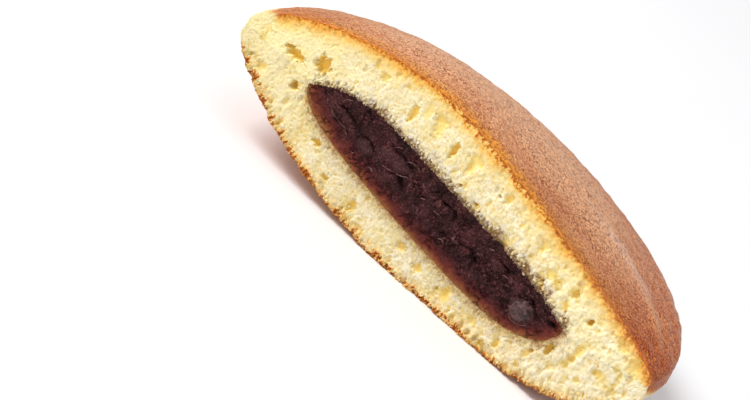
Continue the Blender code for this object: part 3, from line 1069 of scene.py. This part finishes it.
def under_the_skin(nodes, at, crumb):
    """Toasts the crumb under the browned skin: broadly in the dome, thinly and darker underneath, with
    painted shade between its fibres there.
    """
    edge_place = nodes.join(nodes.read("along"), 0.0, at.inwards)
    fibre = nodes.noise(edge_place, 0.8 * MM, detail=4.0, roughness=0.65)
    teeth = nodes.times(nodes.span(at.across, -32, -20, 1.3, 0.55), at.underside)
    freckle = nodes.times(
        nodes.span(at.torn_edge, 0.38, 0.62, 1.0, -1.0),
        nodes.span(at.middle, 0.0, 1.0, 0.3, 1.0),
        nodes.span(at.skin, 0.0, 2.0, 1.0, 0.3),
    )
    uneven = nodes.times(nodes.span(at.broad, 0.3, 0.7, 0.5, -0.5), nodes.span(at.skin, 0.0, 1.2, 0.3, 1.0))
    under_skin = nodes.plus(
        at.skin,
        uneven,
        nodes.span(at.fine, 0.3, 0.7, 0.2, -0.2),
        freckle,
        nodes.times(nodes.span(fibre, 0.35, 0.65, 1.0, -1.0), teeth),
    )
    amber = nodes.ramp(
        nodes.over(under_skin, 3.8),
        (0.0, 172, 92, 38),
        (0.06, 206, 128, 44),
        (0.18, 232, 174, 80),
        (0.42, 239, 200, 112),
        (1.0, 244, 218, 150),
    )
    scorched = nodes.ramp(
        nodes.over(under_skin, 2.8),
        (0.0, 150, 76, 28),
        (0.08, 188, 112, 42),
        (0.19, 228, 174, 96),
        (0.42, 243, 214, 148),
    )
    amber_end = nodes.span(at.underside, 0.0, 1.0, 4.4, 2.4)
    is_brown = nodes.span(at.browned, 0.2, 0.7)
    toasted = nodes.times(
        nodes.fade(under_skin, 0.4, amber_end), is_brown, nodes.span(at.across, 14, 30, 1.0, 0.94)
    )
    crumb = nodes.blend(toasted, crumb, nodes.blend(at.underside, amber, scorched))
    # Painted shade between the fibres along the underside.
    between = nodes.times(nodes.fade(fibre, 0.36, 0.52), nodes.span(at.skin, 0.5, 3.2, 0.85, 0.0))
    return nodes.tints(crumb, (nodes.times(between, at.underside, is_brown), 204, 186, 130))


def sponge_material():
    made, nodes, shader, place = new_material("sponge_cake")
    at = sponge_patterns(nodes, place)
    cut = nodes.read("cut")
    crust, grain = browned_skin(nodes, at)
    crumb = under_the_skin(nodes, at, beside_paste(nodes, at, open_crumb(nodes, at)))
    crust_height = nodes.times(grain, nodes.span(cut, 0.0, 1.0, 1.6, 0.0))
    height = nodes.plus(nodes.times(at.fine, cut), crust_height)
    nodes.dress(
        shader,
        Base_Color=nodes.blend(cut, crust, crumb),
        Roughness=nodes.span(cut, 0.0, 1.0, 0.48, 0.85),
        Specular_IOR_Level=0.08,
        Sheen_Weight=0.3,
        Sheen_Roughness=0.3,
        Sheen_Tint=(1.0, 0.85, 0.7, 1.0),
        Subsurface_Weight=nodes.times(cut, nodes.minus(1.0, at.tuft), 0.4),
        Subsurface_Radius=(1.0, 0.9, 0.75),
        Subsurface_Scale=0.5 * MM,
        Normal=nodes.bump(height, 0.6, 0.15 * MM),
    )
    return made


def paste_material():
    made, nodes, shader, place = new_material("sweet_bean_paste")
    cloud = nodes.noise(place, 2.6 * MM, detail=4.0, roughness=0.6)
    fleck = nodes.noise(place, 0.4 * MM, roughness=0.7)
    # Painted glints: pale grey flecks on the raised spots of the bumps.
    glint_flecks = nodes.times(nodes.span(fleck, 0.54, 0.66, 0.0, 0.8), nodes.span(cloud, 0.4, 0.58, 0.35, 1.0))
    base = nodes.coats(
        nodes.blend(nodes.span(cloud, 0.32, 0.66), rgb(40, 9, 10), rgb(76, 33, 33)),
        (glint_flecks, 112, 76, 78),
        (nodes.span(fleck, 0.33, 0.47, 0.8, 0.0), 22, 3, 5),
        # The cut beans paler: partly their own colour, partly painted sheen.
        (nodes.times(nodes.read("bean"), nodes.span(cloud, 0.3, 0.7, 0.5, 1.0)), 80, 54, 54),
    )
    edge = nodes.plus(nodes.over(nodes.read("edge"), MM), nodes.span(cloud, 0.3, 0.7, -0.5, 0.5))
    reddish = nodes.ramp(
        nodes.over(edge, 3.0),
        (0.0, 150, 100, 56),
        (0.12, 140, 78, 44),
        (0.33, 114, 50, 36),
        (0.6, 92, 34, 31),
        (1.0, 74, 28, 28),
    )
    base = nodes.blend(nodes.span(edge, 1.0, 4.0, 0.95, 0.0), base, reddish)
    # Painted shade: near black in the crevices beside the beans, in the hollow at the tip and in the
    # creases between lumps.
    crease = nodes.times(nodes.read("crease"), 0.7)
    base = nodes.coats(base, (nodes.read("crevice"), 18, 6, 7), (crease, 20, 7, 8))
    mash = nodes.noise(place, 0.24 * MM, roughness=0.7)
    nodes.dress(
        shader,
        Base_Color=base,
        Roughness=nodes.span(fleck, 0.35, 0.7, 0.14, 0.34),
        Specular_IOR_Level=0.12,
        Normal=nodes.bump(nodes.plus(fleck, nodes.times(mash, 0.6)), 1.0, 0.34 * MM),
    )
    return made


def bean_material():
    made, nodes, shader, place = new_material("boiled_red_bean")
    cloud = nodes.noise(place, 0.8 * MM, detail=3.0, roughness=0.6)
    edges = nodes.cells(place, 1 / (0.5 * MM), feature="DISTANCE_TO_EDGE")
    network = nodes.times(nodes.fade(edges["Distance"], 0.02, 0.16), nodes.span(cloud, 0.4, 0.6))
    base = nodes.blend(nodes.span(cloud, 0.35, 0.65), rgb(34, 12, 14), rgb(78, 46, 45))
    nodes.dress(
        shader,
        Base_Color=nodes.coats(base, (nodes.times(network, 0.7), 116, 82, 78)),
        Roughness=nodes.span(cloud, 0.3, 0.7, 0.2, 0.4),
        Specular_IOR_Level=0.4,
        Normal=nodes.bump(nodes.plus(cloud, nodes.times(network, 0.4)), 0.9, 0.2 * MM),
    )
    return made


def skin_material():
    made, nodes, shader, place = new_material("bean_skin")
    cloud = nodes.noise(place, 0.6 * MM, detail=3.0)
    nodes.dress(
        shader,
        Base_Color=nodes.blend(nodes.span(cloud, 0.35, 0.7), rgb(66, 32, 30), rgb(136, 92, 84)),
        Roughness=nodes.span(cloud, 0.3, 0.7, 0.25, 0.45),
        Specular_IOR_Level=0.4,
    )
    return made


def table_material():
    made, nodes, shader, place = new_material("pale_table")
    cloud = nodes.noise(place, 60 * MM, detail=3.0)
    pale = nodes.blend(cloud, rgb(248, 248, 250), rgb(252, 252, 253))
    nodes.dress(shader, Base_Color=pale, Roughness=0.6)
    return made


# --- the pieces ---------------------------------------------------------------------------------


def browning(points):
    """From 0 in the pale band at the rim to 1 on the dome and the underside."""
    x, y, z = points.T
    top = BAND_TOP - BAND_TOP_TILT * x / RIM_RADIUS - BAND_TOP_DROP * (1 - fading(y, BAND_DROP_BACK))
    bottom = BAND_BOTTOM - BAND_BOTTOM_TILT * x / RIM_RADIUS
    beyond = np.maximum(z - top, bottom - z)
    return np.clip(0.5 + beyond / BAND_EDGE, 0, 1)


def stains_and_shade(x, flat, cut, paste_gap, seam_gap, is_upper):
    """Where the crumb is darkened: stains over the paste and along the seam, and painted shade in the
    hollow at the paste's tip.
    """
    # Painted shade in the hollow at the paste's tip.
    off_tip, _ = oval_shares(flat, (TIP_HOLLOW,))
    hollow = np.clip(1.6 - off_tip, 0, 1) * cut
    past_tip = np.clip(x - PASTE_SIDE - 0.97 * PASTE_RADIUS, 0, None)
    seam_line = 0.5 * np.exp(-seam_gap / (0.14 * MM) - past_tip / (2.5 * MM)) * (past_tip > 0)
    past_left_tip = np.clip((x - PASTE_SIDE + PASTE_RADIUS) / (5 * MM), 0, 1)
    smeared = fading(paste_gap, 0.5 * MM) * is_upper * past_left_tip
    return np.maximum(np.maximum(smeared, hollow), seam_line)


def make_cake(name, low, high, cut_rows, low_rows, high_rows, is_upper):
    """One griddle cake, whose points carry what its geometry tree and its material go by."""
    half = Half(low, high, RIM_RADIUS, 0.0, CENTRE_BACK, CAKE_COLUMNS, cut_rows, low_rows, high_rows)
    points = half.points
    outer, inner = (half.top, half.bottom) if is_upper else (half.bottom, half.top)
    thing = object_from(name, rim_shaped(points), half.faces)
    sharpen(thing, half.borders[0 if is_upper else cut_rows])

    x, back, z = points.T
    flat = points[:, (0, 2)]
    on_cut = slice(0, half.cut_count)
    cut, skin = np.zeros((2, len(points)))
    cut[on_cut] = 1
    skin[on_cut], which = nearest(flat[on_cut], outer)
    walked = walked_along(outer)
    along = np.interp(x, outer[:, 0], walked)
    along[on_cut] = walked[which]
    brown = browning(points)
    brown[on_cut] = browning(np.stack((outer[:, 0], 0 * outer[:, 0], outer[:, 1]), 1))[which]
    paste_gap, seam_gap, outside = np.ones((3, len(points)))
    beside = np.abs(inner[:, 0] - PASTE_SIDE) < PASTE_RADIUS
    paste_gap[on_cut], _ = nearest(flat[on_cut], inner[beside])
    seam_gap[on_cut], _ = nearest(flat[on_cut], inner)
    outside[slice(*(half.low_span if is_upper else half.high_span))] = 0
    bubbles = (*UPPER_BUBBLES, *LOWER_BUBBLES, TIP_HOLLOW)
    bubble, which = oval_shares(flat, bubbles)
    reach = (1.3 + 0.9 * wander(x, 0, z, 3.5 * MM)) * MM
    torn = np.exp(-skin / (1.3 * MM) - back / TEAR_FADE) * brown * outside
    behind, strength = beside_fold(x, back)
    strength = strength * is_upper * (1 - cut)
    give(
        thing,
        cut=cut,
        skin=skin,
        along=along,
        browned=brown,
        bubble=bubble,
        bubble_depth=np.array([depth * MM for *_, depth in bubbles])[which],
        frayed=bell(paste_gap, reach) * is_upper,
        pressed=bell(paste_gap, 0.6 * reach + 0.5 * MM) * (not is_upper),
        paste_gap=np.minimum(paste_gap / MM, 9),
        back=back / MM,
        stained=stains_and_shade(x, flat, cut, paste_gap, seam_gap, is_upper),
        tuft=0 * cut,
        open=fading(back, CRUMB_FADE) * outside,
        torn=torn * (0.04 if is_upper else 1.0),
        skinned=(1 - fading(back, 1.0 * MM)) * outside,
        underside=np.full(len(points), float(not is_upper)),
        rim=from_axis(x, back) / RIM_RADIUS,
        # fold: where the painted highlight along the fold's crest lies; fold_shade: where the painted shade
        # behind it lies.
        fold=bell(behind - 0.4 * MM, 1.15 * FOLD_WIDTH) * strength,
        fold_shade=bell(behind - 5 * MM, 2.6 * MM) * strength,
    )
    return thing


def paste_face(x, z):
    """How far behind the knife's plane the cut paste lies, and the depth of its crevices."""
    flat = np.stack((x, z), 1)
    share, which = oval_shares(flat, BEANS)
    share = share * (1 + 0.3 * wander(x, 5, z, 2.0 * MM)) + 0.12 * wander(x, 6, z, 0.9 * MM)
    beans = np.array(BEANS)[which] * MM
    face = -BEAN_PROUD * np.clip(1.1 - share**2, 0, 1) ** 0.8
    turn = np.arctan2((z - beans[:, 1]) / beans[:, 3], (x - beans[:, 0]) / beans[:, 2])
    uneven = wander(x, 3, z, 1.4 * MM)
    facing = np.clip(np.cos(turn - CREVICE_WAY) * 1.8 - 0.8 + 0.9 * uneven, 0, 1)
    crevice = bell(share - 1.05, CREVICE_WIDTH) * facing
    off_tip, _ = oval_shares(flat, (TIP_HOLLOW,))
    crevice = np.maximum(crevice, np.clip(1.25 - off_tip + 0.3 * uneven, 0, 1))
    swell = 0.35 * MM * wander(x, 0, z, 5 * MM)
    lumps = 0.2 * MM * wander(x, 7, z, 1.6 * MM) + 0.1 * MM * wander(x, 9, z, 0.6 * MM)
    return face + CREVICE_DEPTH * crevice + swell + lumps, crevice


def make_paste(material):
    half = Half(
        lambda x, y: paste_bottom(x, y, PASTE_BITE),
        lambda x, y: paste_top(x, y, PASTE_BITE),
        PASTE_RADIUS + PASTE_BITE,
        PASTE_SIDE,
        PASTE_BACK,
        PASTE_COLUMNS,
        PASTE_CUT_ROWS,
        PASTE_SKIN_ROWS,
        PASTE_SKIN_ROWS,
    )
    points = half.points.copy()
    x, back, z = half.points.T
    flat = points[:, (0, 2)]
    edge, _ = nearest(flat, half.bottom)
    inside = np.clip(np.minimum(edge, nearest(flat, half.top)[0]) / (0.9 * MM), 0, 1)
    share, which = oval_shares(flat, BEANS)
    pale = np.array([bean[4] for bean in BEANS])[which]
    relief, crevice = paste_face(x, z)
    bulge = 0.2 * MM * fading(edge, 1.5 * MM) * inside
    points[:, 1] += (relief * inside - bulge) * fading(back, PASTE_FADE)
    thing = object_from("sweet_bean_paste", points, half.faces)
    sharpen(thing, half.borders[0] | half.borders[PASTE_CUT_ROWS])
    give(
        thing,
        edge=edge * (1 - 0.4 * np.clip(-x / PASTE_RADIUS, 0, 1) ** 3),
        crevice=crevice,
        bean=np.clip(1.2 - share**4, 0, 1) * pale * 0.8,
        open=fading(back, PASTE_FADE) * inside,
    )
    return run_tree(thing, paste_relief(material))


def make_bean(across, up, half_length, half_height):
    """A whole boiled bean, a little wrinkled, that stands out of the cut."""
    work = bmesh.new()
    bmesh.ops.create_icosphere(work, subdivisions=5, radius=1.0)
    for corner in work.verts:
        wrinkle = 1 + 0.09 * noise.noise(corner.co * 2.0) + 0.05 * noise.noise(corner.co * 5.0)
        corner.co *= wrinkle
        corner.co.x = corner.co.x * half_length * MM + across * MM
        corner.co.y = corner.co.y * half_height * 0.7 * MM + 0.75 * MM
        corner.co.z = corner.co.z * half_height * MM + up * MM
    return object_of("red_bean", work)


def paste_middle(x):
    """The height in mm halfway up the cut paste, x mm across."""
    low, high = (form(np.array(x * MM), np.array(0.0)) for form in (paste_bottom, paste_top))
    return float((low + high) / 2 / MM)


def make_skins(material):
    """Thin edges of bean skin along the beans, and small scraps between them."""
    draw = random.Random(11)
    lines = list(SKINS)
    for _ in range(SKIN_SCRAPS):
        x = draw.uniform(-26, 24)
        z = paste_middle(x) + draw.uniform(-3.2, 3.2)
        turn = draw.uniform(-0.6, 0.6)
        long = draw.uniform(0.6, 1.6)
        bow = draw.uniform(-0.3, 0.3)
        lines.append((x, z, x + long * math.cos(turn), z + long * math.sin(turn), bow))
    points, edges = [], []
    for x0, z0, x1, z1, bow in lines:
        share = np.linspace(0, 1, SKIN_STEPS + 1)
        lift = bow * 4 * share * (1 - share)
        length = math.hypot(x1 - x0, z1 - z0)
        across = (mix(x0, x1, share) - lift * (z1 - z0) / length) * MM
        up = (mix(z0, z1, share) + lift * (x1 - x0) / length) * MM
        face, _ = paste_face(across, up)
        first = len(points)
        points += np.stack((across, face - 0.03 * MM, up), 1).tolist()
        edges += [(first + i, first + i + 1) for i in range(SKIN_STEPS)]
    data = bpy.data.meshes.new("bean_skins")
    data.from_pydata(points, edges, [])
    return run_tree(add_object("bean_skins", data), skin_tree(material))


def make_crumbs(cakes, material):
    """Torn crumbs of both cakes, as one piece."""
    tree = crumb_tree(material)
    parts = [add_object("torn_crumbs", cake.data.copy()) for cake in cakes]
    work = bmesh.new()
    for number, part in enumerate(parts):
        work.from_mesh(run_tree(part, tree, seed=5 + number).data)
    work.to_mesh(parts[0].data)
    work.free()
    bpy.data.objects.remove(parts[1])
    return parts[0]


def finish_piece(thing, look, slot, *nodes):
    """Puts a piece in the frame and says what it looks like, rides on and replaces."""
    thing.data.transform(Matrix.Translation(TO_FRAME))
    thing.data.update()
    thing.data.materials.clear()
    thing.data.materials.append(look)
    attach(thing, "root")
    if nodes:
        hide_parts(*nodes)


def make_food():
    sponge = sponge_material()
    relief = sponge_relief(sponge)
    upper = make_cake("upper_sponge", paste_top, crown, UPPER_CUT_ROWS, HIDDEN_ROWS, SKIN_ROWS, True)
    lower = make_cake("lower_sponge", belly, paste_bottom, LOWER_CUT_ROWS, SKIN_ROWS, HIDDEN_ROWS, False)
    run_tree(upper, relief, ragged=0.12 * MM)
    run_tree(lower, relief, ragged=0.55 * MM)
    crumbs = make_crumbs((upper, lower), sponge)
    finish_piece(upper, sponge, "cake", "upper_cake")
    finish_piece(lower, sponge, "cake", "lower_cake")
    finish_piece(crumbs, sponge, "cake")
    skins = skin_material()
    paste = paste_material()
    finish_piece(make_paste(paste), paste, "bean_paste", "bean_paste")
    finish_piece(make_bean(*BEANS[0][:4]), bean_material(), "bean_paste")
    finish_piece(make_skins(skins), skins, "bean_paste")


# --- table, camera and light --------------------------------------------------------------------


def make_table():
    work = bmesh.new()
    bmesh.ops.create_circle(work, cap_ends=True, segments=96, radius=2.5)
    table = object_of("table", work)
    table.data.materials.append(table_material())


def aimed(way):
    """The axes of something that lies that way from the food and looks back at it."""
    return way.to_track_quat("Z", "Y").to_matrix()


def standing(way, axes):
    """Where something stands that lies this way from the food."""
    return Matrix.Translation(AIM + TO_FRAME + way) @ axes.to_4x4()


def make_camera():
    data = bpy.data.cameras.new("camera")
    data.lens = LENS
    data.sensor_width = SENSOR
    data.clip_start = 10 * MM
    camera = add_object("camera", data)
    out = math.cos(CAMERA_RISE)
    way = Vector((math.sin(CAMERA_TURN) * out, -math.cos(CAMERA_TURN) * out, math.sin(CAMERA_RISE)))
    axes = aimed(way) @ Matrix.Rotation(CAMERA_ROLL, 3, "Z")
    camera.matrix_world = standing(way * CAMERA_DISTANCE, axes)
    bpy.context.scene.camera = camera
    return axes


def make_light(name, way, size, power):
    """A round area light that shines on the food from that way, given in the frame's axes."""
    data = bpy.data.lights.new(name, "AREA")
    data.shape = "DISK"
    data.size = size
    data.energy = power
    add_object(name, data).matrix_world = standing(way, aimed(way))


def make_world():
    world = bpy.data.worlds.new("studio")
    world.use_nodes = True
    backdrop = world.node_tree.nodes["Background"]
    backdrop.inputs["Color"].default_value = (1.0, 1.0, 1.0, 1.0)
    backdrop.inputs["Strength"].default_value = 0.6
    bpy.context.scene.world = world


def make_studio():
    make_table()
    make_world()
    axes = make_camera()
    make_light("top_softbox", axes @ Vector((-0.24, 1.2, 0.56)), 0.62, 14.5)
    make_light("front_fill", axes @ Vector((-0.3, 0.25, 0.9)), 0.6, 0.8)
    bpy.context.scene.view_settings.view_transform = "Standard"


make_food()
make_studio()
